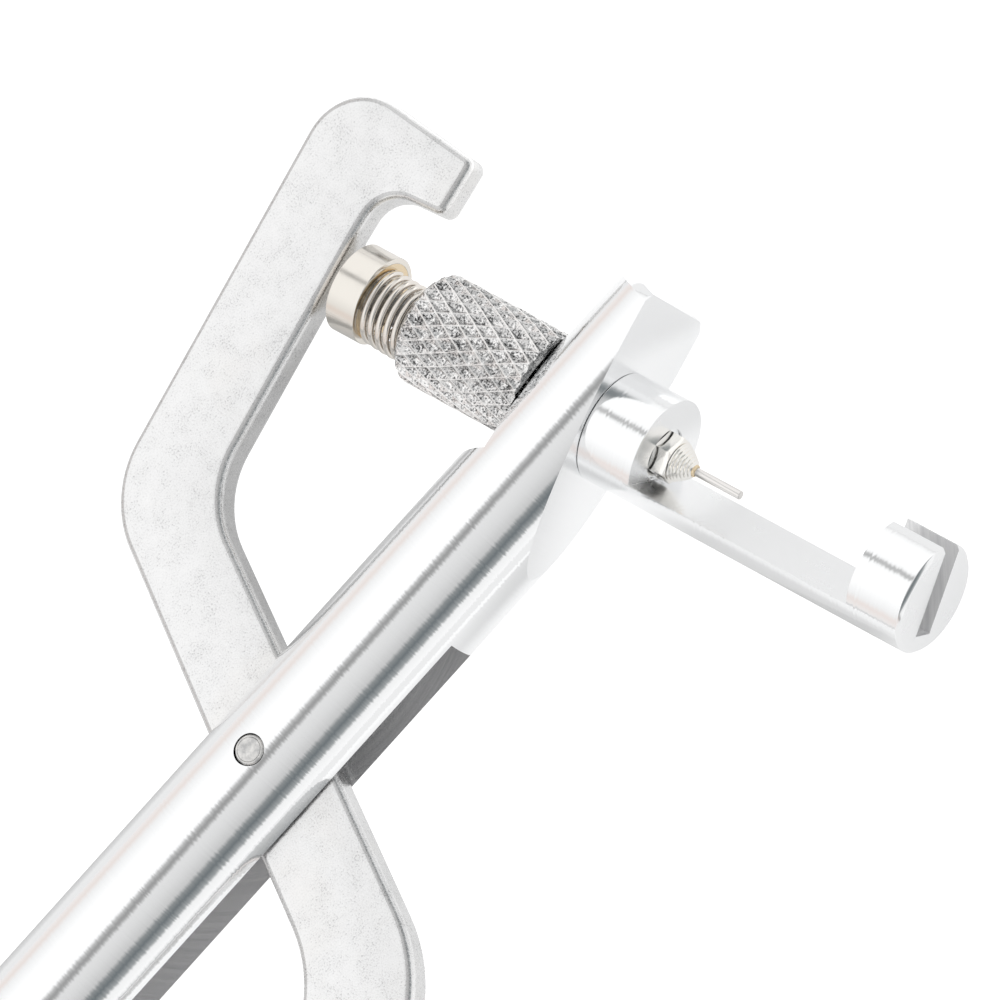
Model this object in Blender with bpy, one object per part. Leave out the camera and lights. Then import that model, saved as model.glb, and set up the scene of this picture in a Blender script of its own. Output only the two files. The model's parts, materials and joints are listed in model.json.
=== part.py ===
"""Bracelet link-pin plier: a slotted round handle, an S-shaped squeeze lever on a
cross pin, and a sprung punch that drives a link pin across an anvil.

The tool lies flat on its side.  Metres, +Z up, +X from the butt end to the tip.
"""
import math

import bmesh
import bpy
from mathutils import Matrix, Vector

MM = 0.001
GAP = 0.3 * MM                  # clearance between pieces that touch or slide
OVERCUT = 2.0 * MM              # how far a cutter runs past the faces it opens

# Handle rod, along X, with the lever's cross pin at its local zero
PIVOT = Vector((21.05, -0.65, 6.0)) * MM
ROD_R = 6.0 * MM
ROD_BUTT = -96.0 * MM
ROD_TIP = 51.3 * MM
ROD_CHAMFER = 0.8 * MM
SLOT_TOP = 17.9 * MM
SLOT_BOTTOM = -42.0 * MM

# Cross pin
PIN_R = 1.3 * MM
PIN_HALF = 5.95 * MM

# Lever plate: corners (x, y, fillet radius) in millimetres around the cross pin
LEVER_THICK = 3.4 * MM
LEVER_EDGE = 0.45 * MM
LEVER_CORNERS = (
    (48.2, 23.4, 0.8), (45.9, 38.8, 5.5), (5.5, 28.5, 10.0),
    (-11.3, -19.2, 12.0), (-88.5, -26.7, 4.0), (-89.0, -35.7, 4.0),
    (-3.9, -26.9, 14.0), (11.9, 21.0, 8.5), (36.6, 27.3, 3.0),
    (41.0, 28.2, 3.0), (42.9, 22.3, 0.8),
)

# Punch line: crosses the rod axis at PUNCH_X and leans towards the tip.
# Stations along it are measured from the rod axis, positive towards the anvil.
PUNCH_X = 39.8 * MM
PUNCH_LEAN = math.radians(15.0)
BARREL_SEAT = -4.8 * MM
ANVIL_SEAT = 2.3 * MM
SPOTFACE_R = 8.5 * MM
STUD_R = 3.0 * MM
STUD_END = -11.2 * MM
SHAFT_R = 1.5 * MM

# Anvil, swivelled about the punch line
ANVIL_SWIVEL = math.radians(20.8)
ANVIL_R = 5.0 * MM
ANVIL_FACE = 7.8 * MM
END_BLOCK = 30.6 * MM
ANVIL_END = 36.1 * MM
BED_DEPTH = 2.35 * MM
SLIT_WIDTH = 2.2 * MM
SLIT_DEPTH = 3.2 * MM

# Knurled barrel
BARREL_R = 5.05 * MM
BARREL_BACK = -17.8 * MM
BARREL_FRONT = BARREL_SEAT - GAP
BARREL_CHAMFER = 0.25 * MM
CHAMBER_R = 3.9 * MM
CHAMBER_FLOOR = -12.4 * MM

# Plunger
CAP_R = 4.05 * MM
CAP_BACK = -25.6 * MM
CAP_FRONT = -22.6 * MM
CAP_RECESS_R = 3.5 * MM
CAP_RECESS = 0.3 * MM
CHUCK_R = 2.05 * MM
CHUCK_END = 9.3 * MM
NOSE_R = 1.75 * MM
NOSE_TIP_R = 0.85 * MM
NOSE_END = 11.0 * MM
PUNCH_R = 0.39 * MM
PUNCH_END = 15.85 * MM

# Return spring
SPRING_R = 3.0 * MM
WIRE_R = 0.23 * MM
SPRING_COILS = 8
SPRING_STEPS = 20
WIRE_SIDES = 6

ALUMINIUM = (0.80, 0.81, 0.82, 1.0)
PLATE_GREY = (0.62, 0.62, 0.61, 1.0)
STEEL = (0.45, 0.45, 0.45, 1.0)
NICKEL = (0.66, 0.62, 0.57, 1.0)


def clear_scene():
    for obj in list(bpy.data.objects):
        bpy.data.objects.remove(obj, do_unlink=True)


def material(name, colour, roughness, metallic=1.0):
    mat = bpy.data.materials.new(name)
    mat.use_nodes = True
    shader = mat.node_tree.nodes["Principled BSDF"]
    shader.inputs["Base Color"].default_value = colour
    shader.inputs["Roughness"].default_value = roughness
    shader.inputs["Metallic"].default_value = metallic
    mat.diffuse_color = colour
    return mat


def empty(name, location, parent=None, rotation=None):
    holder = bpy.data.objects.new(name, None)
    bpy.context.scene.collection.objects.link(holder)
    holder.parent = parent
    holder.location = location
    if rotation is not None:
        holder.rotation_euler = rotation.to_euler()
    return holder


def add_object(name, bm, mat=None, parent=None, location=(0.0, 0.0, 0.0)):
    """Turn a bmesh into an object; round faces shade smooth and edges stay sharp."""
    bmesh.ops.recalc_face_normals(bm, faces=bm.faces)
    mesh = bpy.data.meshes.new(name)
    bm.to_mesh(mesh)
    bm.free()
    mesh.shade_smooth()
    mesh.set_sharp_from_angle(angle=math.radians(35.0))
    if mat is not None:
        mesh.materials.append(mat)
    obj = bpy.data.objects.new(name, mesh)
    bpy.context.scene.collection.objects.link(obj)
    obj.parent = parent
    obj.location = location
    return obj


def cut(target, cutter, operation="DIFFERENCE"):
    """Boolean one object with another, which stays in the file as a wire guide."""
    cutter.hide_render = True
    cutter.display_type = "WIRE"
    boolean = target.modifiers.new(cutter.name, "BOOLEAN")
    boolean.operation = operation
    boolean.solver = "EXACT"
    boolean.object = cutter


def box_mesh(low, high):
    bm = bmesh.new()
    bmesh.ops.create_cube(bm, size=1.0)
    size = Vector(high) - Vector(low)
    centre = (Vector(high) + Vector(low)) / 2
    bmesh.ops.scale(bm, vec=size, verts=bm.verts)
    bmesh.ops.translate(bm, vec=centre, verts=bm.verts)
    return bm


def turned_mesh(profile, sides):
    """Turn (radius, z) points about Z; a closed loop of points makes a hollow piece."""
    bm = bmesh.new()
    rings = []
    for radius, z in profile:
        if radius == 0.0:
            rings.append([bm.verts.new((0.0, 0.0, z))] * sides)
            continue
        ring = []
        for k in range(sides):
            angle = 2 * math.pi * k / sides
            ring.append(bm.verts.new((radius * math.cos(angle), radius * math.sin(angle), z)))
        rings.append(ring)
    closed = all(radius > 0.0 for radius, _ in profile)
    last = len(rings) if closed else len(rings) - 1
    for i in range(last):
        lower, upper = rings[i], rings[(i + 1) % len(rings)]
        for k in range(sides):
            n = (k + 1) % sides
            corners = [lower[k], lower[n], upper[n], upper[k]]
            bm.faces.new(list(dict.fromkeys(corners)))
    return bm


def cylinder_profile(radius, low, high, chamfer=0.0):
    if chamfer == 0.0:
        return [(0.0, low), (radius, low), (radius, high), (0.0, high)]
    return [
        (0.0, low), (radius - chamfer, low), (radius, low + chamfer),
        (radius, high - chamfer), (radius - chamfer, high), (0.0, high),
    ]


def rounded_outline(corners, steps=6):
    """Points of a closed outline whose corners (x, y, radius) are rounded with arcs."""
    points = []
    for i, (x, y, radius) in enumerate(corners):
        corner = Vector((x, y))
        before = (Vector(corners[i - 1][:2]) - corner).normalized()
        after = (Vector(corners[(i + 1) % len(corners)][:2]) - corner).normalized()
        half = before.angle(after) / 2
        centre = corner + (before + after).normalized() * radius / math.sin(half)
        start = corner + before * radius / math.tan(half) - centre
        sweep = start.angle_signed(corner + after * radius / math.tan(half) - centre)
        for k in range(steps + 1):
            spoke = Matrix.Rotation(-sweep * k / steps, 2) @ start
            points.append((centre + spoke) * MM)
    return points


def plate_mesh(outline, thickness):
    bm = bmesh.new()
    face = bm.faces.new([bm.verts.new((p.x, p.y, -thickness / 2)) for p in outline])
    grown = bmesh.ops.extrude_face_region(bm, geom=[face])
    top = [item for item in grown["geom"] if isinstance(item, bmesh.types.BMVert)]
    bmesh.ops.translate(bm, vec=(0.0, 0.0, thickness), verts=top)
    return bm


def coil_mesh(radius, wire, low, high, coils):
    """A closed helical wire, wound about Z between two stations."""
    bm = bmesh.new()
    steps = coils * SPRING_STEPS
    rings = []
    for i in range(steps + 1):
        part = i / steps
        turn = 2 * math.pi * coils * part
        out = Vector((math.cos(turn), math.sin(turn), 0.0))
        centre = out * radius + Vector((0.0, 0.0, low + (high - low) * part))
        ring = []
        for k in range(WIRE_SIDES):
            angle = 2 * math.pi * k / WIRE_SIDES
            offset = out * math.cos(angle) + Vector((0.0, 0.0, 1.0)) * math.sin(angle)
            ring.append(bm.verts.new(centre + offset * wire))
        rings.append(ring)
    for lower, upper in zip(rings, rings[1:]):
        for k in range(WIRE_SIDES):
            n = (k + 1) % WIRE_SIDES
            bm.faces.new((lower[k], lower[n], upper[n], upper[k]))
    bm.faces.new(rings[0][::-1])
    bm.faces.new(rings[-1])
    return bm


def make_rod(tool, line):
    """Round handle with the lever slot, the pin hole, both seats and the punch bore."""
    rod = add_object(
        "handle_rod", turned_mesh(cylinder_profile(ROD_R, ROD_BUTT, ROD_TIP, ROD_CHAMFER), 64),
        material("rod_aluminium", ALUMINIUM, 0.25), tool)
    rod.rotation_euler = (0.0, math.pi / 2, 0.0)
    half = LEVER_THICK / 2 + GAP
    wide = ROD_R + OVERCUT
    cut(rod, add_object("lever_slot_cut", box_mesh(
        (SLOT_BOTTOM, -wide, -half), (SLOT_TOP, wide, half)), parent=tool))
    cut(rod, add_object("pin_hole_cut", turned_mesh(
        cylinder_profile(PIN_R + GAP, -wide, wide), 32), parent=tool))
    reach = 30 * MM
    cut(rod, add_object("anvil_seat_cut", box_mesh(
        (-reach, -wide, ANVIL_SEAT), (reach, wide, reach)), parent=line))
    cut(rod, add_object("barrel_seat_cut", turned_mesh(
        cylinder_profile(SPOTFACE_R, -reach, BARREL_SEAT), 64), parent=line))
    cut(rod, add_object("punch_bore_cut", turned_mesh(
        cylinder_profile(STUD_R + GAP, -reach, reach), 32), parent=line))


def make_lever(tool):
    lever = add_object(
        "lever", plate_mesh(rounded_outline(LEVER_CORNERS), LEVER_THICK),
        material("lever_plate", PLATE_GREY, 0.5), tool)
    bevel = lever.modifiers.new("edge_break", "BEVEL")
    bevel.width = LEVER_EDGE
    bevel.segments = 1
    bevel.limit_method = "ANGLE"
    bevel.angle_limit = math.radians(60.0)
    cut(lever, add_object("lever_hole_cut", turned_mesh(
        cylinder_profile(PIN_R + GAP, -LEVER_THICK, LEVER_THICK), 32), parent=tool))


def make_pin(tool):
    add_object("pivot_pin", turned_mesh(
        cylinder_profile(PIN_R, -PIN_HALF, PIN_HALF, 0.15 * MM), 32),
        material("pin_steel", STEEL, 0.45), tool)


def make_anvil(line):
    """Cut-away cylinder with a link bed and a slit end, on a hollow stud."""
    low = ANVIL_SEAT + GAP
    bore = SHAFT_R + GAP
    edge = 0.25 * MM
    profile = [
        (bore, STUD_END), (STUD_R, STUD_END), (STUD_R, low), (ANVIL_R - edge, low),
        (ANVIL_R, low + edge), (ANVIL_R, ANVIL_END - edge), (ANVIL_R - edge, ANVIL_END),
        (bore, ANVIL_END),
    ]
    anvil = add_object(
        "anvil", turned_mesh(profile, 64), material("anvil_aluminium", ALUMINIUM, 0.22), line)
    anvil.rotation_euler = (0.0, 0.0, ANVIL_SWIVEL)
    wide = ANVIL_R + OVERCUT
    cut(anvil, add_object("bore_fill", turned_mesh(
        cylinder_profile(bore + GAP, ANVIL_FACE + GAP, ANVIL_END - edge), 32), parent=anvil), "UNION")
    cut(anvil, add_object("bed_cut", box_mesh(
        (-BED_DEPTH, -wide, ANVIL_FACE), (wide, wide, END_BLOCK)), parent=anvil))
    cut(anvil, add_object("slit_cut", box_mesh(
        (-SLIT_DEPTH, -SLIT_WIDTH / 2, END_BLOCK - OVERCUT / 2),
        (wide, SLIT_WIDTH / 2, ANVIL_END + OVERCUT)), parent=anvil))


def make_barrel(line):
    """Knurled clamping nut: stud thread at the rod end, spring chamber at the back."""
    thread = STUD_R + GAP
    bore = SHAFT_R + GAP
    thread_floor = STUD_END - GAP
    profile = [
        (CHAMBER_R, BARREL_BACK), (BARREL_R - BARREL_CHAMFER, BARREL_BACK),
        (BARREL_R, BARREL_BACK + BARREL_CHAMFER), (BARREL_R, BARREL_FRONT - BARREL_CHAMFER),
        (BARREL_R - BARREL_CHAMFER, BARREL_FRONT), (thread, BARREL_FRONT),
        (thread, thread_floor), (bore, thread_floor), (bore, CHAMBER_FLOOR),
        (CHAMBER_R, CHAMBER_FLOOR),
    ]
    add_object("knurled_barrel", turned_mesh(profile, 48), material("barrel_steel", STEEL, 0.35), line)


def make_plunger(line):
    """Cap, shaft, hexagonal pin holder, threaded nose and punch pin, end to end."""
    nickel = material("plunger_nickel", NICKEL, 0.22)
    shaft_back = CAP_FRONT - CAP_RECESS + GAP
    cap = [
        (0.0, CAP_BACK), (CAP_R - 0.15 * MM, CAP_BACK), (CAP_R, CAP_BACK + 0.15 * MM),
        (CAP_R, CAP_FRONT), (CAP_RECESS_R, CAP_FRONT), (CAP_RECESS_R, CAP_FRONT - CAP_RECESS),
        (0.0, CAP_FRONT - CAP_RECESS),
    ]
    add_object("plunger_cap", turned_mesh(cap, 48), nickel, line)
    shaft_front = ANVIL_FACE - GAP
    add_object("plunger_shaft", turned_mesh(
        cylinder_profile(SHAFT_R, shaft_back, shaft_front), 32),
        material("shaft_steel", STEEL, 0.3), line)
    chuck_back = ANVIL_FACE + GAP
    add_object("pin_chuck", turned_mesh(
        cylinder_profile(CHUCK_R, chuck_back, CHUCK_END, 0.15 * MM), 6),
        material("chuck_nickel", NICKEL, 0.3), line)
    nose_back = CHUCK_END + GAP / 3
    nose = [(0.0, nose_back), (NOSE_R, nose_back), (NOSE_TIP_R, NOSE_END), (0.0, NOSE_END)]
    add_object("chuck_nose", turned_mesh(nose, 24), material("nose_nickel", NICKEL, 0.3), line)
    add_object("punch_pin", turned_mesh(
        cylinder_profile(PUNCH_R, NOSE_END + GAP / 3, PUNCH_END, 0.1 * MM), 16),
        material("punch_steel", STEEL, 0.25), line)


def make_spring(line):
    low = CAP_FRONT - CAP_RECESS + GAP + WIRE_R
    high = CHAMBER_FLOOR - GAP - WIRE_R
    add_object("return_spring", coil_mesh(SPRING_R, WIRE_R, low, high, SPRING_COILS),
               material("spring_wire", NICKEL, 0.3), line)


def build():
    clear_scene()
    tool = empty("tool", PIVOT)
    across = Vector((math.cos(PUNCH_LEAN), math.sin(PUNCH_LEAN), 0.0))
    push = Vector((math.sin(PUNCH_LEAN), -math.cos(PUNCH_LEAN), 0.0))
    turn = Matrix((across, Vector((0.0, 0.0, 1.0)), push)).transposed()
    line = empty("punch_line", (PUNCH_X, 0.0, 0.0), tool, turn)
    make_rod(tool, line)
    make_lever(tool)
    make_pin(tool)
    make_anvil(line)
    make_barrel(line)
    make_plunger(line)
    make_spring(line)


build()
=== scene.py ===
import json
import math

import bmesh
import bpy
from mathutils import Matrix, Vector


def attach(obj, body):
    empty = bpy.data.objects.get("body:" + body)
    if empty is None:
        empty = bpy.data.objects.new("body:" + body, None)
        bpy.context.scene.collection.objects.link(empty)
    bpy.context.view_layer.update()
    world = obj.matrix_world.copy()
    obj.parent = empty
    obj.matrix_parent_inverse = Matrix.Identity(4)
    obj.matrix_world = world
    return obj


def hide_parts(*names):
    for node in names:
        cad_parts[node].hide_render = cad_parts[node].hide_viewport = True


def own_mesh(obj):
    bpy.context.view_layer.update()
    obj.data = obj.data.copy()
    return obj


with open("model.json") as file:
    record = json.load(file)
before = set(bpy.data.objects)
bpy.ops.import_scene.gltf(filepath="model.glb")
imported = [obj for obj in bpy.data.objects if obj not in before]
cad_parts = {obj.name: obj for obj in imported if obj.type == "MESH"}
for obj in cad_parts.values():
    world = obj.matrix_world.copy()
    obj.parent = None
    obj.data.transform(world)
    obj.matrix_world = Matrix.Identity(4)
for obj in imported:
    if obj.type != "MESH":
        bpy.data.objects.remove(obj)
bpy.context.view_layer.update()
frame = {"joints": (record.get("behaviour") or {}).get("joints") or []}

MM = 0.001
JOINTS = {joint["name"]: joint for joint in frame["joints"]}
PIVOT = Vector(JOINTS["lever_pivot"]["pos_m"])
CROSSING = Vector(JOINTS["anvil_swivel"]["pos_m"])      # punch line meets the rod axis
PUSH = Vector(JOINTS["plunger_slide"]["axis"]).normalized()
UP = Vector((0.0, 0.0, 1.0))
ACROSS = UP.cross(PUSH)                                  # in the lever's plane, towards the tip

EDGE_ANGLE = 32.0                                        # degrees; sharper edges stay crisp
ROUND_SLACK = 0.02                                       # mm off a cylinder, still part of it
AXIS_SLACK, SAME_SIDE, FACING = 0.05, 0.7, 0.99          # dot products of unit vectors
RIM_SHADE_BANDS = ((0.985, 0.0), (0.8, 0.3), (0.1, 0.65), (-1.0, 1.0))    # least normal z, band of painted rim shade by tilt
SAW_CENTRE = (0.030, 0.016, 0.0)                         # the saw marks are arcs round it
CAMERA_LENS, CAMERA_SENSOR = 426.4, 36.0
CAMERA_AIM = Vector((0.04988, 0.00174, 0.00324))
CAMERA_BACK = Vector((0.12148, -0.43446, 0.89246)).normalized()
CAMERA_UP = Vector((0.73747, 0.64131, 0.21181))

# Glow of the floor and the sky: (place on a ramp, strength) stops.
FLOOR_BASE, FLOOR_HALF, FLOOR_DROP = 0.42, 3.0, -0.05
GLOW_BEND, GLOW_SLOPE, GLOW_SCALE = 0.04, 1.5, 10.0
GLOW_ACROSS = ((0.0, 0.58), (0.03, 0.74), (0.38, 0.75), (0.46, 0.70), (0.62, 0.28), (0.85, 0.55))
PATCH_X = ((0.70, 0.0), (0.77, 1.0), (0.84, 1.0), (0.93, 0.0))
PATCH_Y = ((0.46, 0.0), (0.56, 0.35))
SHADE_X_SCALE, SHADE_Y_SCALE = 12.0, -20.0
SHADE_X = ((0.0, 0.0), (0.03, 0.50), (0.20, 0.42), (0.45, 0.12), (0.8, 0.0))
SHADE_Y = ((0.12, 0.0), (0.28, 1.0), (0.60, 1.0), (0.72, 0.0))
SKY_STRENGTH = 1.12
SKY_SEAM_WAY = (-0.887, 0.449, -0.113)
SKY_SEAM = ((0.0, 0.38), (0.035, 0.48), (0.075, 1.0))
SKY_LEFT = ((0.0, (0.84, 0.81, 0.80)), (0.2, (0.80, 0.73, 0.70)), (0.38, 0.86), (0.64, 0.97),
            (0.72, 1.0), (1.0, 1.0))
SKY_FRONT = ((0.0, 0.94), (0.24, 0.86), (0.32, (0.33, 0.345, 0.35)), (0.48, (0.15, 0.17, 0.18)),
             (0.60, (0.25, 0.265, 0.27)), (0.68, 0.55), (0.86, 0.68), (1.0, 0.76))
SKY_BACK = ((0.0, 0.70), (0.10, 0.92), (0.25, 1.0), (1.0, 1.0))

# Sizes in millimetres.  Stations run along the punch line from the rod axis.
ROD_R, ROD_BUTT, ROD_TIP, ROD_CHAMFER = 6.0, -96.0, 51.3, 0.8
SLOT_HALF, SLOT_TOP, SLOT_BOTTOM = 2.0, 17.9, -42.0
PIN_R, PIN_HALF, PIN_HOLE_R = 1.33, 5.95, 1.42
BARREL_SEAT, ANVIL_SEAT, SPOTFACE_R, BORE_R = -4.8, 2.3, 8.5, 3.3

LEVER_HALF, LEVER_EDGE = 1.7, 0.75
LEVER_CORNERS = (
    (48.2, 23.4, 0.95), (45.9, 38.8, 5.5), (5.5, 28.5, 10.0),
    (-11.3, -19.2, 12.0), (-88.5, -26.7, 4.0), (-89.0, -35.7, 4.0),
    (-3.9, -26.9, 14.0), (11.9, 21.0, 8.5), (36.6, 27.3, 3.0),
    (41.0, 28.2, 3.0), (42.9, 22.3, 0.95),
)

ANVIL_SWIVEL = math.radians(20.8)
ANVIL_R, ANVIL_BACK, ANVIL_FACE, END_BLOCK, ANVIL_END = 5.0, 2.33, 7.8, 30.6, 36.1
BED_DEPTH, SLIT_HALF, SLIT_DEPTH = 2.35, 1.1, 3.2
STUD_R, STUD_END, SHAFT_HOLE_R, COUNTERBORE_R = 3.0, -11.2, 1.8, 2.35

BARREL_R, BARREL_BACK, BARREL_FRONT = 5.1, -17.8, -4.9
CHAMBER_R, CHAMBER_FLOOR = 3.9, -12.4
KNURL_STARTS, KNURL_HELIX, KNURL_DEPTH = 24, math.radians(28.0), 0.42

CAP_R, CAP_BACK, CAP_FRONT, CAP_RECESS_R, CAP_RECESS = 4.05, -25.6, -22.6, 3.15, 0.15
SHAFT_R = 1.5
CHUCK_R, CHUCK_BACK, CHUCK_END, CHUCK_TURN = 2.15, 7.6, 9.25, math.radians(22.0)
NOSE_R, NOSE_TIP_R, NOSE_END, THREAD_PITCH = 1.78, 0.8, 11.0, 0.26
PUNCH_R, PUNCH_END = 0.39, 15.85
SPRING_R, WIRE_R, SPRING_COILS = 3.08, 0.30, 11

PUNCH_FRAME = Matrix((ACROSS, UP, PUSH)).transposed().to_4x4()
PUNCH_FRAME.translation = CROSSING
TOOL_FRAME = Matrix.Translation(PIVOT)


# ---------------------------------------------------------------- mesh helpers

def finish_object(name, bm, place):
    """Scale millimetres to metres, place the mesh in the shared frame and link it."""
    bmesh.ops.recalc_face_normals(bm, faces=bm.faces)
    bm.transform(place @ Matrix.Scale(MM, 4))
    mesh = bpy.data.meshes.new(name)
    bm.to_mesh(mesh)
    bm.free()
    obj = bpy.data.objects.new(name, mesh)
    bpy.context.scene.collection.objects.link(obj)
    smooth(obj)
    return obj


def smooth(obj, angle=EDGE_ANGLE):
    """Shade smoothly up to an angle in degrees between faces."""
    obj.data.shade_smooth()
    obj.data.set_sharp_from_angle(angle=math.radians(angle))


def apply_modifiers(obj):
    """Replace the object's mesh by the mesh its modifiers make."""
    depsgraph = bpy.context.evaluated_depsgraph_get()
    made = bpy.data.meshes.new_from_object(obj.evaluated_get(depsgraph), depsgraph=depsgraph)
    obj.modifiers.clear()
    obj.data = made
    smooth(obj)


def cut(obj, *cutters, operation="DIFFERENCE"):
    """Apply the cutters to the object as exact booleans and remove them."""
    for cutter in cutters:
        boolean = obj.modifiers.new("cut", "BOOLEAN")
        boolean.operation = operation
        boolean.solver = "EXACT"
        boolean.object = cutter
    apply_modifiers(obj)
    for cutter in cutters:
        bpy.data.objects.remove(cutter, do_unlink=True)


def soften_edges(obj, width, segments=2):
    """Round the sharp edges a little, as deburring does."""
    bevel = obj.modifiers.new("edge", "BEVEL")
    bevel.width = width * MM
    bevel.segments = segments
    bevel.limit_method = "ANGLE"
    bevel.angle_limit = math.radians(EDGE_ANGLE)
    bevel.use_clamp_overlap = True
    bevel.miter_outer = "MITER_ARC"
    apply_modifiers(obj)


def true_round(obj, *cylinders, flat_area=2.0):
    """Shade known cylinders (origin, axis, radius) and large flats by their true normals."""
    mesh = obj.data
    normals = [Vector(corner.vector) for corner in mesh.corner_normals]
    known = {}
    edges = []
    for poly in mesh.polygons:
        spokes = None
        for origin, axis, radius in cylinders:
            if abs(poly.normal.dot(axis)) > AXIS_SLACK:
                continue
            arms = [mesh.vertices[v].co - origin for v in poly.vertices]
            arms = [arm - axis * arm.dot(axis) for arm in arms]
            if all(abs(arm.length - radius * MM) < ROUND_SLACK * MM for arm in arms):
                side = 1.0 if arms[0].dot(poly.normal) > 0.0 else -1.0
                spokes = [arm.normalized() * side for arm in arms]
                break
        if spokes is None and poly.area > flat_area * MM * MM:
            spokes = [poly.normal.copy()] * len(poly.vertices)
        if spokes is None:
            edges.append(poly)
            continue
        for loop, vertex, spoke in zip(poly.loop_indices, poly.vertices, spokes):
            normals[loop] = spoke
            known.setdefault(vertex, []).append(spoke)
    for poly in edges:
        for loop, vertex in zip(poly.loop_indices, poly.vertices):
            near = max(known.get(vertex, ()), key=poly.normal.dot, default=None)
            if near is not None and near.dot(poly.normal) > SAME_SIDE:
                normals[loop] = near
    mesh.normals_split_custom_set(normals)


def mark_faces(obj, name, test):
    """Store 1.0 on the faces that pass test(centre, normal), for the material to read."""
    layer = obj.data.attributes.new(name, "FLOAT", "FACE")
    for poly in obj.data.polygons:
        layer.data[poly.index].value = 1.0 if test(poly.center, poly.normal) else 0.0


def turned(profile, sides, bump=None):
    """Turn (radius, z) points about Z.  bump(angle, z) is added to marked radii."""
    bm = bmesh.new()
    rings = []
    for entry in profile:
        radius, z = entry[:2]
        shaped = bump is not None and len(entry) > 2
        if radius == 0.0:
            rings.append([bm.verts.new((0.0, 0.0, z))] * sides)
            continue
        ring = []
        for k in range(sides):
            angle = 2 * math.pi * k / sides
            r = radius + (bump(angle, z) * entry[2] if shaped else 0.0)
            ring.append(bm.verts.new((r * math.cos(angle), r * math.sin(angle), z)))
        rings.append(ring)
    closed = all(entry[0] > 0.0 for entry in profile)
    for i in range(len(rings) if closed else len(rings) - 1):
        lower, upper = rings[i], rings[(i + 1) % len(rings)]
        for k in range(sides):
            n = (k + 1) % sides
            bm.faces.new(list(dict.fromkeys([lower[k], lower[n], upper[n], upper[k]])))
    return bm


def rod_profile(radius, low, high, edge=0.0, steps=3):
    """A solid round bar whose end edges are rounded by edge."""
    points = [(0.0, low)]
    for k in range(steps + 1):
        turn = math.pi / 2 * k / steps
        points.append((radius - edge + edge * math.sin(turn), low + edge - edge * math.cos(turn)))
    for k in range(steps + 1):
        turn = math.pi / 2 * k / steps
        points.append((radius - edge + edge * math.cos(turn), high - edge + edge * math.sin(turn)))
    points.append((0.0, high))
    return points


def box(low, high):
    """A block between two corners."""
    bm = bmesh.new()
    bmesh.ops.create_cube(bm, size=1.0)
    bmesh.ops.scale(bm, vec=Vector(high) - Vector(low), verts=bm.verts)
    bmesh.ops.translate(bm, vec=(Vector(high) + Vector(low)) / 2, verts=bm.verts)
    return bm


def rounded_outline(corners, steps):
    """Points of a closed outline whose corners (x, y, radius) are rounded with arcs."""
    points = []
    for i, (x, y, radius) in enumerate(corners):
        corner = Vector((x, y))
        before = (Vector(corners[i - 1][:2]) - corner).normalized()
        after = (Vector(corners[(i + 1) % len(corners)][:2]) - corner).normalized()
        half = before.angle(after) / 2
        centre = corner + (before + after).normalized() * radius / math.sin(half)
        start = corner + before * radius / math.tan(half) - centre
        sweep = start.angle_signed(corner + after * radius / math.tan(half) - centre)
        for k in range(steps + 1):
            points.append(centre + Matrix.Rotation(-sweep * k / steps, 2) @ start)
    return points


# ------------------------------------------------------------------- materials

class Nodes:
    """Short names for building one material's nodes."""

    def __init__(self, tree):
        self.tree = tree

    def new(self, kind, **values):
        node = self.tree.nodes.new(kind)
        for key, value in values.items():
            if hasattr(node, key):
                setattr(node, key, value)
            else:
                node.inputs[key].default_value = value
        return node

    def link(self, source, target):
        self.tree.links.new(source, target)

    def maths(self, operation, a, b=None):
        node = self.new("ShaderNodeMath", operation=operation)
        for socket, value in zip(node.inputs, (a, b)):
            self.feed(value, socket)
        return node.outputs[0]

    def vector(self, operation, a, b=None, scale=None):
        node = self.new("ShaderNodeVectorMath", operation=operation)
        self.feed(a, node.inputs[0])
        self.feed(b, node.inputs[1])
        if scale is not None:
            self.feed(scale, node.inputs["Scale"])
        return node.outputs["Value" if operation in ("DOT_PRODUCT", "LENGTH") else "Vector"]

    def on_x(self, value):
        node = self.new("ShaderNodeCombineXYZ")
        self.link(value, node.inputs["X"])
        return node.outputs[0]

    def feed(self, value, socket):
        if value is None:
            return
        if isinstance(value, bpy.types.NodeSocket):
            self.link(value, socket)
        else:
            socket.default_value = value

    def noise(self, vector, scale, detail=2.0, roughness=0.5):
        node = self.new("ShaderNodeTexNoise", Scale=scale, Detail=detail, Roughness=roughness)
        self.link(vector, node.inputs["Vector"])
        return node.outputs["Fac"]

    def mix(self, fac, a, b, kind="RGBA", blend="MIX"):
        first, result = (6, 2) if kind == "RGBA" else (4, 1)
        node = self.new("ShaderNodeMix", data_type=kind, blend_type=blend)
        for socket, value in ((node.inputs["Factor"], fac), (node.inputs[first], a),
                              (node.inputs[first + 1], b)):
            self.feed(value, socket)
        return node.outputs[result]

    def bump(self, height, strength, distance, normal=None):
        node = self.new("ShaderNodeBump", Strength=strength, Distance=distance * MM)
        self.link(height, node.inputs["Height"])
        self.feed(normal, node.inputs["Normal"])
        return node.outputs["Normal"]

    def attribute(self, name):
        return self.new("ShaderNodeAttribute", attribute_name=name).outputs["Fac"]

    def ramp(self, fac, stops, mode="LINEAR"):
        node = self.new("ShaderNodeValToRGB")
        node.color_ramp.interpolation = mode
        elements = node.color_ramp.elements
        while len(elements) < len(stops):
            elements.new(0.5)
        for element, (position, colour) in zip(elements, stops):
            element.position = position
            grey = (colour,) * 3 if isinstance(colour, float) else colour
            element.color = (*grey, 1.0)
        self.feed(fac, node.inputs["Fac"])
        return node.outputs["Color"]


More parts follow.
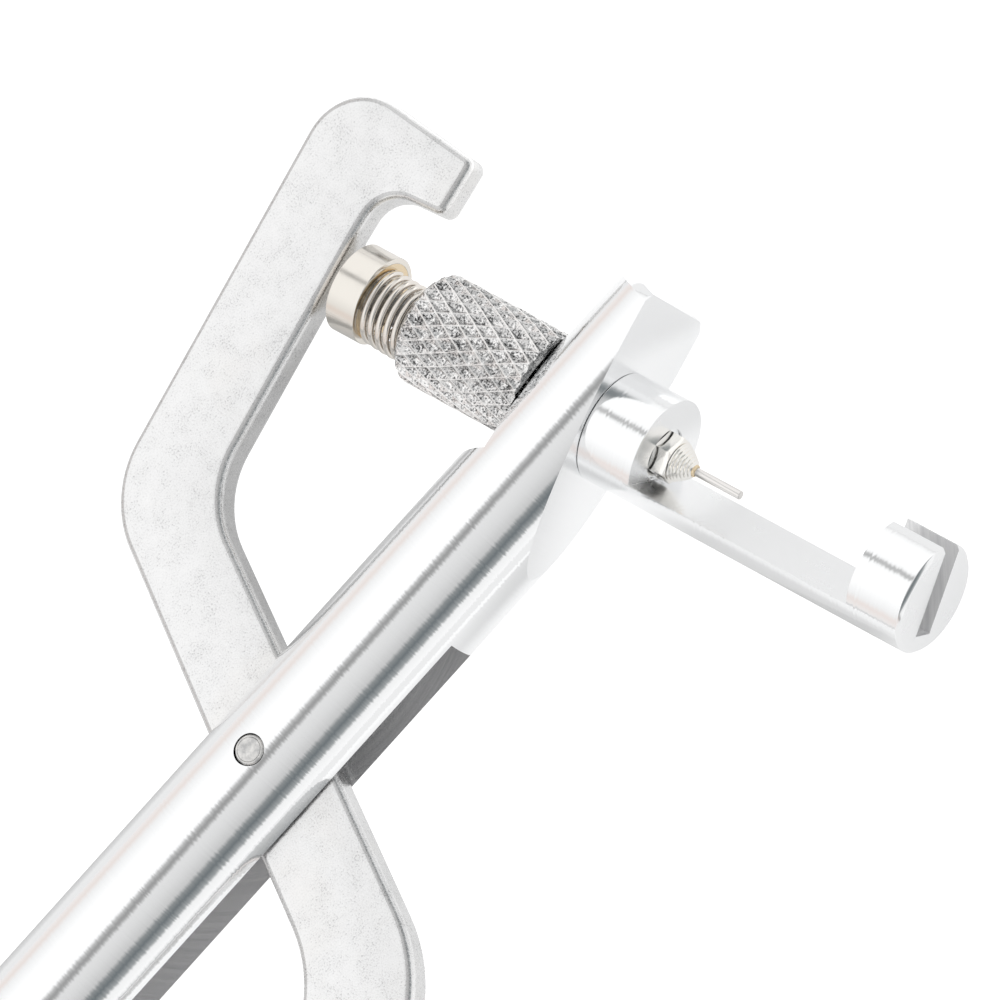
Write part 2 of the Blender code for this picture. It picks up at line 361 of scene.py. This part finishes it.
def new_metal(name, colour, roughness):
    """A plain metal, with its nodes, its shader and the place on the object."""
    mat = bpy.data.materials.new(name)
    mat.use_nodes = True
    nodes = Nodes(mat.node_tree)
    shader = mat.node_tree.nodes["Principled BSDF"]
    shader.inputs["Base Color"].default_value = (*colour, 1.0)
    shader.inputs["Roughness"].default_value = roughness
    shader.inputs["Metallic"].default_value = 1.0
    place = nodes.new("ShaderNodeTexCoord").outputs["Object"]
    return mat, nodes, shader, place


def turned_metal(name, colour, roughness, axis, wave=0.05, pitch=0.22, sawn=0.0):
    """Turned bar: each tool mark round the axis leans its own way, so streaks fray."""
    mat, nodes, shader, place = new_metal(name, colour, roughness)
    along = nodes.vector("DOT_PRODUCT", place, tuple(axis))
    line = nodes.on_x(along)
    fine = nodes.noise(line, 1.0 / (pitch * MM), 2.0, 0.6)
    broad = nodes.noise(line, 0.25 / (pitch * MM), 2.0, 0.5)
    both = nodes.maths("ADD", fine, nodes.maths("MULTIPLY", broad, 0.25))
    lean = nodes.maths("SUBTRACT", both, 0.625)
    normal = nodes.new("ShaderNodeNewGeometry").outputs["Normal"]
    round_way = nodes.vector("CROSS_PRODUCT", tuple(axis), normal)
    shift = nodes.vector("SCALE", round_way, scale=nodes.maths("MULTIPLY", lean, wave))
    bent = nodes.vector("NORMALIZE", nodes.vector("ADD", normal, shift))
    nodes.link(bent, shader.inputs["Normal"])
    patch = nodes.noise(place, 160.0, 4.0, 0.6)
    low, high = roughness * 0.75, roughness * 1.35
    milled = nodes.attribute("milled")
    shine = nodes.maths("ADD", nodes.ramp(patch, ((0.3, low), (0.7, high))),
                        nodes.maths("MULTIPLY", milled, 0.14))
    if not sawn:
        nodes.link(shine, shader.inputs["Roughness"])
        return mat
    cut_face = nodes.attribute("sawn")
    reach = nodes.vector("LENGTH", nodes.vector("SUBTRACT", place, SAW_CENTRE))
    marks = nodes.noise(nodes.on_x(reach), 2200.0, 3.0, 0.75)
    scored = nodes.bump(marks, 0.6, 0.05, bent)
    nodes.link(nodes.mix(cut_face, bent, scored, kind="VECTOR"), shader.inputs["Normal"])
    nodes.link(nodes.mix(cut_face, shine, (0.26, 0.26, 0.26, 1.0)), shader.inputs["Roughness"])
    grey = nodes.ramp(marks, ((0.35, (0.72, 0.72, 0.73)), (0.65, (0.95, 0.95, 0.95))))
    nodes.link(nodes.mix(cut_face, (*colour, 1.0), grey), shader.inputs["Base Color"])
    nodes.link(nodes.maths("SUBTRACT", 1.0, nodes.maths("MULTIPLY", cut_face, sawn)),
               shader.inputs["Metallic"])
    return mat


def tumbled_plate():
    """Tumbled and plated strip: satin, peppered with fine pits, faintly stained; painted shade
    darkens the rim by its tilt.
    """
    mat, nodes, shader, place = new_metal("lever_plate", (0.86, 0.86, 0.86), 0.36)
    cloud = nodes.noise(place, 500.0, 5.0, 0.7)
    grit = nodes.noise(place, 6500.0, 2.0, 0.6)
    stain = nodes.noise(place, 90.0, 3.0, 0.55)
    pepper = nodes.maths("ADD", grit, nodes.maths("MULTIPLY", cloud, 0.55))
    tone = nodes.ramp(pepper, ((0.56, (0.58, 0.58, 0.58)), (0.66, (0.80, 0.80, 0.80)),
                               (0.80, (0.87, 0.87, 0.87)), (1.0, (0.91, 0.91, 0.91))))
    rim = nodes.attribute("rim")
    warm = nodes.ramp(stain, ((0.55, (1.0, 1.0, 1.0)), (0.8, (0.98, 0.965, 0.945))))
    # painted shade: the rim bands darken the bevels and sides by their tilt, standing in for the
    # dark edge lines that light gives
    rim_shade = nodes.ramp(rim, ((0.0, 1.0), (0.3, 0.70), (0.65, 0.98), (1.0, 0.84)))
    stained = nodes.mix(1.0, tone, warm, blend="MULTIPLY")
    nodes.link(nodes.mix(1.0, stained, rim_shade, blend="MULTIPLY"), shader.inputs["Base Color"])
    nodes.link(nodes.maths("SUBTRACT", nodes.ramp(grit, ((0.35, 0.28), (0.7, 0.42))),
                           nodes.maths("MULTIPLY", rim, 0.12)), shader.inputs["Roughness"])
    nodes.link(nodes.bump(pepper, 0.5, 0.035), shader.inputs["Normal"])
    return mat


def knurled_steel():
    """Pale glossy crests over rough grey pits, set by crest height."""
    mat, nodes, shader, place = new_metal("barrel_steel", (0.7, 0.7, 0.7), 0.25)
    crest = nodes.attribute("crest")
    grit = nodes.noise(place, 5200.0, 3.0, 0.7)
    cloud = nodes.noise(place, 700.0, 3.0, 0.6)
    rough = nodes.maths("ADD", nodes.maths("MULTIPLY", grit, 0.75),
                        nodes.maths("MULTIPLY", cloud, 0.25))
    pit = nodes.ramp(rough, ((0.41, (0.05, 0.05, 0.05)), (0.47, (0.58, 0.58, 0.58)),
                             (0.56, (0.90, 0.89, 0.88))))
    # colour is paler on the crests and greyer in the pits, by crest height
    crest_pale = nodes.ramp(crest, ((0.78, 0.0), (0.90, 1.0)))
    nodes.link(nodes.mix(crest_pale, pit, (0.97, 0.96, 0.95, 1.0)), shader.inputs["Base Color"])
    nodes.link(nodes.ramp(crest, ((0.6, 0.18), (0.9, 0.40))), shader.inputs["Roughness"])
    nodes.link(nodes.bump(rough, 0.6, 0.045), shader.inputs["Normal"])
    return mat


def plated(name, colour, roughness, scale=700.0):
    """Bright plating with a faint waviness."""
    mat, nodes, shader, place = new_metal(name, colour, roughness)
    wave = nodes.noise(place, scale, 3.0, 0.6)
    nodes.link(nodes.bump(wave, 0.18, 0.03), shader.inputs["Normal"])
    nodes.link(nodes.ramp(wave, ((0.3, roughness * 0.7), (0.7, roughness * 1.4))),
               shader.inputs["Roughness"])
    return mat


def pin_steel():
    """Faced steel with dull spots."""
    mat, nodes, shader, place = new_metal("pin_steel", (0.55, 0.55, 0.55), 0.4)
    spots = nodes.noise(place, 1500.0, 4.0, 0.6)
    nodes.link(nodes.ramp(spots, ((0.35, (0.50, 0.50, 0.50)), (0.65, (0.80, 0.79, 0.77)))),
               shader.inputs["Base Color"])
    nodes.link(nodes.bump(spots, 0.3, 0.04), shader.inputs["Normal"])
    return mat


ALUMINIUM = (0.91, 0.915, 0.92)
ROD_METAL = turned_metal("rod_aluminium", ALUMINIUM, 0.055, (1.0, 0.0, 0.0), 0.10, sawn=0.25)
ANVIL_METAL = turned_metal("anvil_aluminium", ALUMINIUM, 0.11, PUSH, 0.17, sawn=0.6)
LEVER_METAL = tumbled_plate()
BARREL_METAL = knurled_steel()
PIN_METAL = pin_steel()
NICKEL = plated("plated_nickel", (0.80, 0.765, 0.71), 0.14)
SPRING_METAL = plated("spring_nickel", (0.78, 0.74, 0.69), 0.16, 1500.0)
BRIGHT_NICKEL = plated("bright_nickel", (0.95, 0.93, 0.89), 0.12, 1600.0)
BRASS = plated("brass_lining", (0.80, 0.66, 0.46), 0.2)
SHAFT_METAL = turned_metal("shaft_steel", (0.5, 0.5, 0.5), 0.25, PUSH)
PUNCH_METAL = turned_metal("punch_steel", (0.78, 0.76, 0.74), 0.14, PUSH)


def dress(obj, mat, slot, body, *nodes):
    """Give the piece its look, its body and the nodes it stands for."""
    obj.data.materials.clear()
    obj.data.materials.append(mat)
    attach(obj, body)
    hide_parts(*nodes)


# ---------------------------------------------------------------------- pieces

def make_rod():
    """Slotted round handle with both cross-bore seats."""
    along = TOOL_FRAME @ Matrix.Rotation(math.pi / 2, 4, "Y")
    profile = [
        (0.0, ROD_BUTT), (ROD_R - ROD_CHAMFER, ROD_BUTT), (ROD_R, ROD_BUTT + ROD_CHAMFER),
        (ROD_R, ROD_TIP - ROD_CHAMFER), (ROD_R - ROD_CHAMFER, ROD_TIP), (0.0, ROD_TIP),
    ]
    rod = finish_object("rod_body", turned(profile, 192), along)
    wide, reach = 2 * ROD_R, 40.0
    slot = box((SLOT_BOTTOM, -wide, -SLOT_HALF), (SLOT_TOP, wide, SLOT_HALF))
    seat = box((-reach, -wide, ANVIL_SEAT), (reach, wide, reach))
    cut(rod,
        finish_object("slot", slot, TOOL_FRAME),
        finish_object("pin_hole", turned(rod_profile(PIN_HOLE_R, -wide, wide), 64), TOOL_FRAME),
        finish_object("anvil_seat", seat, PUNCH_FRAME),
        finish_object("barrel_seat", turned(rod_profile(SPOTFACE_R, -reach, BARREL_SEAT), 128),
                      PUNCH_FRAME),
        finish_object("bore", turned(rod_profile(BORE_R, -reach, reach), 64), PUNCH_FRAME))
    soften_edges(rod, 0.08)
    true_round(rod, (PIVOT, Vector((1.0, 0.0, 0.0)), ROD_R), (PIVOT, UP, PIN_HOLE_R),
               (CROSSING, PUSH, SPOTFACE_R), (CROSSING, PUSH, BORE_R))
    mark_faces(rod, "milled", lambda at, normal: normal.dot(PUSH) > FACING)
    mark_faces(rod, "sawn", lambda at, normal: abs(normal.z) > FACING
               and abs(at.z - PIVOT.z) < (SLOT_HALF + 0.1) * MM
               and SLOT_BOTTOM * MM < at.x - PIVOT.x < SLOT_TOP * MM)
    dress(rod, ROD_METAL, "rod_aluminium", "handle", "handle_rod")


def make_lever():
    """S-shaped plate with a rounded rim, bored for the cross pin."""
    bm = bmesh.new()
    outline = rounded_outline(LEVER_CORNERS, 14)
    face = bm.faces.new([bm.verts.new((p.x, p.y, -LEVER_HALF)) for p in outline])
    grown = bmesh.ops.extrude_face_region(bm, geom=[face])
    top = [item for item in grown["geom"] if isinstance(item, bmesh.types.BMVert)]
    bmesh.ops.translate(bm, vec=(0.0, 0.0, 2 * LEVER_HALF), verts=top)
    rims = [e for e in bm.edges if abs(e.verts[0].co.z - e.verts[1].co.z) < 1e-6]
    bmesh.ops.bevel(bm, geom=rims, offset=LEVER_EDGE, segments=7, profile=0.5, affect="EDGES")
    lever = finish_object("lever_plate", bm, TOOL_FRAME)
    bore = turned(rod_profile(PIN_HOLE_R, -2 * LEVER_HALF, 2 * LEVER_HALF), 64)
    cut(lever, finish_object("bore", bore, TOOL_FRAME))
    smooth(lever, 40.0)
    # each face's tilt picks its band of painted rim shade
    rim = lever.data.attributes.new("rim", "FLOAT", "FACE")
    for poly in lever.data.polygons:
        tilt = abs(poly.normal.z)
        rim.data[poly.index].value = next(band for least, band in RIM_SHADE_BANDS if tilt > least)
    dress(lever, LEVER_METAL, "lever_plate", "squeeze_lever", "lever")


def make_pin():
    """Straight pin with chamfered, faced ends."""
    end = [(0.0, PIN_HALF), (PIN_R - 0.30, PIN_HALF), (PIN_R - 0.27, PIN_HALF - 0.05),
           (PIN_R - 0.24, PIN_HALF), (PIN_R - 0.12, PIN_HALF - 0.02), (PIN_R, PIN_HALF - 0.16)]
    profile = [(r, -z) for r, z in end] + end[::-1]
    pin = finish_object("cross_pin", turned(profile, 64), TOOL_FRAME)
    dress(pin, PIN_METAL, "pin_steel", "handle", "pivot_pin")


def make_anvil():
    """Cylinder cut away to the link bed, with a slit end block and a hollow stud."""
    place = PUNCH_FRAME @ Matrix.Rotation(ANVIL_SWIVEL, 4, "Z")
    edge = 0.35
    profile = [
        (0.0, STUD_END), (STUD_R, STUD_END), (STUD_R, ANVIL_BACK), (ANVIL_R - 0.06, ANVIL_BACK),
        (ANVIL_R, ANVIL_BACK + 0.06), (ANVIL_R, ANVIL_END - edge),
        (ANVIL_R - edge, ANVIL_END), (0.0, ANVIL_END),
    ]
    anvil = finish_object("anvil_body", turned(profile, 160), place)
    wide = 2 * ANVIL_R
    bed = box((-BED_DEPTH, -wide, ANVIL_FACE), (wide, wide, END_BLOCK))
    slit = box((-SLIT_DEPTH, -SLIT_HALF, END_BLOCK - 1.0), (wide, SLIT_HALF, ANVIL_END + 1.0))
    bore = turned([
        (0.0, STUD_END - 1.0), (SHAFT_HOLE_R, STUD_END - 1.0), (SHAFT_HOLE_R, ANVIL_FACE - 0.3),
        (COUNTERBORE_R, ANVIL_FACE - 0.3), (COUNTERBORE_R, ANVIL_FACE + 1.0),
        (0.0, ANVIL_FACE + 1.0),
    ], 96)
    cut(anvil,
        finish_object("bed", bed, place),
        finish_object("slit", slit, place),
        finish_object("bore", bore, place))
    soften_edges(anvil, 0.07)
    true_round(anvil, (CROSSING, PUSH, ANVIL_R), (CROSSING, PUSH, STUD_R),
               (CROSSING, PUSH, SHAFT_HOLE_R), (CROSSING, PUSH, COUNTERBORE_R))
    slit_way = place.to_3x3().col[1]
    bed_way = place.to_3x3().col[0]
    mark_faces(anvil, "milled", lambda at, normal: abs(normal.dot(PUSH)) > FACING
               or normal.dot(bed_way) > FACING)
    mark_faces(anvil, "sawn", lambda at, normal: (at - CROSSING).dot(PUSH) > (END_BLOCK + 0.2) * MM
               and abs((at - CROSSING).dot(slit_way)) < (SLIT_HALF + 0.05) * MM
               and (abs(normal.dot(slit_way)) > FACING or normal.dot(bed_way) > FACING))
    dress(anvil, ANVIL_METAL, "anvil_aluminium", "anvil_body", "anvil")


def ridge(angle, z, way):
    """Height 0..1 of one set of knurl ridges; 1 along its crests."""
    turn_per_mm = math.tan(KNURL_HELIX) / BARREL_R
    phase = KNURL_STARTS * (angle + way * z * turn_per_mm) / (2 * math.pi)
    tall = 1.0 if way < 0.0 else 0.93
    return tall * (1.0 - 2.0 * abs(phase - round(phase))) ** 1.5


def knurled_tube(sides):
    """Closed tube whose mesh lines follow the knurl, with its crest heights."""
    step = 2 * math.pi / sides
    rise = step * BARREL_R / math.tan(KNURL_HELIX)
    chamber_back, face = BARREL_BACK + 0.15, BARREL_FRONT
    low, high = BARREL_BACK + 0.12, BARREL_FRONT - 0.05
    stations = [(low + rise * i) for i in range(int((high - low) / rise) + 1)] + [high]
    plain_back = [(CHAMBER_R, chamber_back), (CHAMBER_R + 0.15, BARREL_BACK),
                  (BARREL_R - 1.0, BARREL_BACK)]
    plain_front = [(3.3, face), (3.3, STUD_END - 0.3), (SHAFT_HOLE_R, STUD_END - 0.3),
                   (SHAFT_HOLE_R, CHAMBER_FLOOR), (CHAMBER_R, CHAMBER_FLOOR)]
    bm = bmesh.new()
    crest = bm.verts.layers.float.new("crest")
    rings = []

    def plain(radius, z):
        rings.append([bm.verts.new((radius * math.cos(step * k), radius * math.sin(step * k), z))
                      for k in range(sides)])

    for radius, z in plain_back:
        plain(radius, z)
    first = len(rings)
    for z in stations:
        rounding = max(0.0, 1.0 - (z - BARREL_BACK) / 0.9)
        ring = []
        for k in range(sides):
            height = max(ridge(step * k, z, 1.0), ridge(step * k, z, -1.0))
            r = BARREL_R - 0.85 * rounding ** 2 - KNURL_DEPTH * (1.0 - height) * (1.0 - rounding)
            vert = bm.verts.new((r * math.cos(step * k), r * math.sin(step * k), z))
            vert[crest] = height * (1.0 - 0.4 * rounding)
            ring.append(vert)
        rings.append(ring)
    last = len(rings) - 1
    for radius, z in plain_front:
        plain(radius, z)
    for i in range(len(rings)):
        lower, upper = rings[i], rings[(i + 1) % len(rings)]
        for k in range(sides):
            n = (k + 1) % sides
            corners = (lower[k], lower[n], upper[n], upper[k])
            if not first <= i < last:
                bm.faces.new(corners)
                continue
            angle, z = step * (k + 0.5), (stations[i - first] + stations[i - first + 1]) / 2
            if ridge(angle, z, -1.0) > ridge(angle, z, 1.0):
                bm.faces.new((corners[0], corners[1], corners[2]))
                bm.faces.new((corners[0], corners[2], corners[3]))
            else:
                bm.faces.new((corners[0], corners[1], corners[3]))
                bm.faces.new((corners[1], corners[2], corners[3]))
    return bm


def make_barrel():
    """Diamond-knurled nut with a spring chamber and a plain bore; its thread is not drawn."""
    barrel = finish_object("knurled_nut", knurled_tube(KNURL_STARTS * 20), PUNCH_FRAME)
    smooth(barrel, 38.0)
    dress(barrel, BARREL_METAL, "barrel_steel", "barrel", "knurled_barrel")


def make_spring():
    """Slack coil spring from the cap's recess to the chamber floor, bowed to one side."""
    low = CAP_FRONT + WIRE_R
    high = CHAMBER_FLOOR - 0.3 - WIRE_R
    bm = bmesh.new()
    steps, sides = SPRING_COILS * 48, 14
    rings = []
    for i in range(steps + 1):
        part = i / steps
        turn = 2 * math.pi * SPRING_COILS * part
        out = Vector((math.cos(turn), math.sin(turn), 0.0))
        sag = 0.28 + 0.25 * math.sin(math.pi * min(1.0, 0.1 + part))
        centre = out * SPRING_R + Vector((-sag, 0.0, low + (high - low) * part))
        rings.append([
            bm.verts.new(centre + (out * math.cos(2 * math.pi * k / sides)
                                   + UP * math.sin(2 * math.pi * k / sides)) * WIRE_R)
            for k in range(sides)])
    for lower, upper in zip(rings, rings[1:]):
        for k in range(sides):
            n = (k + 1) % sides
            bm.faces.new((lower[k], lower[n], upper[n], upper[k]))
    bm.faces.new(rings[0][::-1])
    bm.faces.new(rings[-1])
    spring = finish_object("coil_spring", bm, PUNCH_FRAME)
    dress(spring, SPRING_METAL, "plated_nickel", "barrel", "return_spring")
    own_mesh(spring)


def make_plunger():
    """Cap, shaft, hexagonal pin holder, threaded nose and punch pin."""
    recess = CAP_FRONT - CAP_RECESS
    lip = CAP_RECESS_R + 0.42
    cap = [
        (0.0, CAP_BACK), (CAP_R - 0.12, CAP_BACK), (CAP_R, CAP_BACK + 0.12),
        (CAP_R, CAP_FRONT - 0.06), (CAP_R - 0.06, CAP_FRONT), (lip, CAP_FRONT),
        (lip, recess), (0.0, recess),
    ]
    piece = finish_object("press_cap", turned(cap, 128), PUNCH_FRAME)
    true_round(piece, (CROSSING, PUSH, CAP_R), (CROSSING, PUSH, lip), flat_area=1.0)
    dress(piece, NICKEL, "plated_nickel", "plunger", "plunger_cap")

    lining = [(lip - 0.02, recess + 0.02), (lip - 0.02, CAP_FRONT),
              (CAP_RECESS_R - 0.2, CAP_FRONT - 0.03), (CAP_RECESS_R - 0.2, recess + 0.02)]
    piece = finish_object("cap_lining", turned(lining, 128), PUNCH_FRAME)
    dress(piece, BRASS, None, "plunger", "plunger_cap")

    shaft = rod_profile(SHAFT_R, recess + 0.02, CHUCK_BACK - 0.05, 0.1)
    piece = finish_object("punch_shaft", turned(shaft, 64), PUNCH_FRAME)
    dress(piece, SHAFT_METAL, "pin_steel", "plunger", "plunger_shaft")

    make_chuck()

    steps = 72
    profile = [(0.0, CHUCK_END + 0.02), (NOSE_R - 0.15, CHUCK_END + 0.02)]
    low, high = CHUCK_END + 0.06, NOSE_END - 0.1
    for k in range(steps + 1):
        part = k / steps
        radius = NOSE_R + (NOSE_TIP_R - NOSE_R) * part ** 1.3
        profile.append((radius, low + (high - low) * part, 1.0))
    profile += [(NOSE_TIP_R - 0.25, NOSE_END), (0.0, NOSE_END)]
    piece = finish_object("threaded_nose", turned(profile, 96, thread), PUNCH_FRAME)
    dress(piece, BRIGHT_NICKEL, "plated_nickel", "plunger", "chuck_nose")

    collar = [(PUNCH_R + 0.02, NOSE_END - 0.05), (NOSE_TIP_R - 0.22, NOSE_END - 0.05),
              (NOSE_TIP_R - 0.26, NOSE_END + 0.12), (PUNCH_R + 0.02, NOSE_END + 0.2)]
    piece = finish_object("pin_collar", turned(collar, 64), PUNCH_FRAME)
    dress(piece, BRASS, None, "plunger", "chuck_nose")

    pin = rod_profile(PUNCH_R, NOSE_END + 0.1, PUNCH_END, 0.06)
    piece = finish_object("drive_pin", turned(pin, 48), PUNCH_FRAME)
    dress(piece, PUNCH_METAL, "pin_steel", "plunger", "punch_pin")


def thread(angle, z):
    """A fine V thread, 0 at its crest."""
    phase = (z / THREAD_PITCH - angle / (2 * math.pi)) % 1.0
    return -0.14 * abs(phase - 0.5) * 2.0


def make_chuck():
    """Hexagon whose corners are turned off at the nose end."""
    hexagon = finish_object("hex_holder", turned(rod_profile(CHUCK_R, CHUCK_BACK, CHUCK_END), 6),
                            PUNCH_FRAME @ Matrix.Rotation(CHUCK_TURN, 4, "Z"))
    flat = CHUCK_R * math.cos(math.pi / 6)
    slope = 0.55
    cone = [
        (0.0, CHUCK_BACK - 0.2), (CHUCK_R + 0.2, CHUCK_BACK - 0.2),
        (CHUCK_R + 0.2, CHUCK_END - 0.3),
        (flat, CHUCK_END - 0.3 + (CHUCK_R + 0.2 - flat) * slope), (flat - 0.3, CHUCK_END + 0.2),
        (0.0, CHUCK_END + 0.2),
    ]
    cut(hexagon, finish_object("cone", turned(cone, 96), PUNCH_FRAME), operation="INTERSECT")
    soften_edges(hexagon, 0.05)
    dress(hexagon, BRIGHT_NICKEL, "plated_nickel", "plunger", "pin_chuck")


# ------------------------------------------------------ floor, light and camera

def make_floor():
    """A pale floor that glows like a light table: brighter beyond the tip, dimmer by the anvil."""
    bm = bmesh.new()
    bmesh.ops.create_grid(bm, x_segments=1, y_segments=1, size=FLOOR_HALF)
    mesh = bpy.data.meshes.new("floor")
    bm.to_mesh(mesh)
    bm.free()
    floor = bpy.data.objects.new("floor", mesh)
    bpy.context.scene.collection.objects.link(floor)
    mat = bpy.data.materials.new("floor_white")
    mat.use_nodes = True
    nodes = Nodes(mat.node_tree)
    shader = mat.node_tree.nodes["Principled BSDF"]
    shader.inputs["Base Color"].default_value = (FLOOR_BASE, FLOOR_BASE, FLOOR_BASE, 1.0)
    shader.inputs["Roughness"].default_value = 1.0
    shader.inputs["Specular IOR Level"].default_value = 0.0
    shader.inputs["Emission Color"].default_value = (1.0, 1.0, 1.0, 1.0)
    seen = nodes.new("ShaderNodeLightPath").outputs["Is Camera Ray"]
    place = nodes.new("ShaderNodeTexCoord").outputs["Object"]
    split = nodes.new("ShaderNodeSeparateXYZ")
    nodes.link(place, split.inputs[0])
    x, y = split.outputs["X"], split.outputs["Y"]

    past_bend = nodes.maths("MAXIMUM", nodes.maths("SUBTRACT", x, GLOW_BEND), 0.0)
    across = nodes.maths("SUBTRACT", y, nodes.maths("MULTIPLY", past_bend, GLOW_SLOPE))
    glow = nodes.ramp(half_up(nodes, across, GLOW_SCALE), GLOW_ACROSS)
    patch = nodes.maths("MULTIPLY",
                        nodes.ramp(nodes.maths("MULTIPLY", x, GLOW_SCALE), PATCH_X, "EASE"),
                        nodes.ramp(half_up(nodes, y, GLOW_SCALE), PATCH_Y, "EASE"))
    glow = nodes.maths("ADD", glow, patch)
    beside = nodes.vector("DOT_PRODUCT", nodes.vector("SUBTRACT", place, tuple(CROSSING)),
                          tuple(-ACROSS))
    shade = nodes.maths("MULTIPLY",
                        nodes.ramp(nodes.maths("MULTIPLY", beside, SHADE_X_SCALE), SHADE_X, "EASE"),
                        nodes.ramp(nodes.maths("MULTIPLY", y, SHADE_Y_SCALE), SHADE_Y, "EASE"))
    glow = nodes.maths("MULTIPLY", glow, nodes.maths("SUBTRACT", 1.0, shade))
    nodes.link(nodes.maths("MAXIMUM", glow, seen), shader.inputs["Emission Strength"])
    floor.data.materials.append(mat)
    floor.location.z = FLOOR_DROP * MM


def half_up(nodes, value, scale=0.5):
    """value * scale + 0.5, to fit a ramp."""
    return nodes.maths("ADD", nodes.maths("MULTIPLY", value, scale), 0.5)


def make_world():
    """Soft tent: bright boxes overhead, a dark seam between them and a dark front band."""
    world = bpy.data.worlds.new("studio")
    bpy.context.scene.world = world
    world.use_nodes = True
    nodes = Nodes(world.node_tree)
    way = nodes.new("ShaderNodeTexCoord").outputs["Generated"]
    split = nodes.new("ShaderNodeSeparateXYZ")
    nodes.link(way, split.inputs[0])
    height = nodes.maths("MAXIMUM", split.outputs["Z"], 0.0)
    seam = nodes.vector("DOT_PRODUCT", way, SKY_SEAM_WAY)
    back_share = nodes.ramp(half_up(nodes, split.outputs["Y"]), ((0.53, 0.0), (0.70, 1.0)), "EASE")
    right = nodes.mix(back_share, nodes.ramp(height, SKY_FRONT), nodes.ramp(height, SKY_BACK))
    side_share = nodes.ramp(half_up(nodes, seam), ((0.494, 0.0), (0.506, 1.0)))
    both = nodes.mix(side_share, right, nodes.ramp(height, SKY_LEFT))
    dark = nodes.ramp(nodes.maths("ABSOLUTE", seam), SKY_SEAM)
    background = world.node_tree.nodes["Background"]
    background.inputs["Strength"].default_value = SKY_STRENGTH
    nodes.link(nodes.mix(1.0, both, dark, blend="MULTIPLY"), background.inputs["Color"])


def make_camera():
    """Long lens, looking down and across the tool, rolled as it is held."""
    camera = bpy.data.cameras.new("camera")
    camera.lens = CAMERA_LENS
    camera.sensor_width = CAMERA_SENSOR
    camera.clip_end = 10.0
    holder = bpy.data.objects.new("camera", camera)
    bpy.context.scene.collection.objects.link(holder)
    right = CAMERA_UP.cross(CAMERA_BACK).normalized()
    turn = Matrix((right, CAMERA_BACK.cross(right), CAMERA_BACK)).transposed()
    holder.matrix_world = Matrix.Translation(CAMERA_AIM + CAMERA_BACK) @ turn.to_4x4()
    bpy.context.scene.camera = holder


make_rod()
make_lever()
make_pin()
make_anvil()
make_barrel()
make_spring()
make_plunger()
make_floor()
make_world()
make_camera()
bpy.context.scene.view_settings.view_transform = "Standard"
